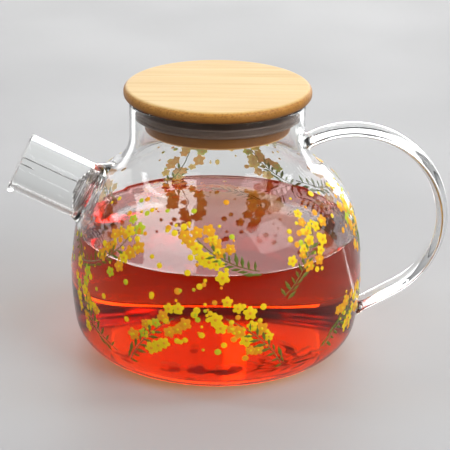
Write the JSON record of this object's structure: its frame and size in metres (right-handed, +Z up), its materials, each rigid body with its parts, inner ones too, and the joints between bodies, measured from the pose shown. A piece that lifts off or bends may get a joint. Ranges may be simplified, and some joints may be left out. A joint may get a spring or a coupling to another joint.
{
  "type": "glass teapot",
  "caption": "Round clear glass teapot with a straight spout, a loop handle, a lift-off bamboo plug lid with a silicone seal, and a pull-out spring strainer in the spout.",
  "frame": {"origin": "centre of the flat base, on the surface that the pot stands on", "axes": "+Z up along the pot's axis, +X from the pot's axis towards the handle, so that the spout points to -X"},
  "size_m": [0.2109, 0.14, 0.1285],
  "materials": {
    "clear_glass": "polished clear borosilicate glass",
    "bamboo": "sanded bamboo with a satin oil",
    "silicone": "translucent matte silicone",
    "stainless_wire": "bright drawn wire",
    "printed_enamel": "thin opaque print fired on the glass",
    "tea": "clear red-amber liquid"
  },
  "bodies": {
    "pot": {"pot_body": "clear_glass", "spout_tube": "clear_glass", "handle": "clear_glass"},
    "lid": {"lid_board": "bamboo", "lid_plug": "bamboo", "lid_seal": "silicone"},
    "strainer": {"spout_strainer": "stainless_wire"}
  },
  "joints": [
    {"name": "lid_lift", "type": "slide", "parent": "pot", "child": "lid", "axis": [0, 0, 1], "range_m": [0, 0.06]},
    {"name": "strainer_pull", "type": "slide", "parent": "pot", "child": "strainer", "axis": [-0.8973, 0, 0.4415], "range_m": [0, 0.06]}
  ]
}
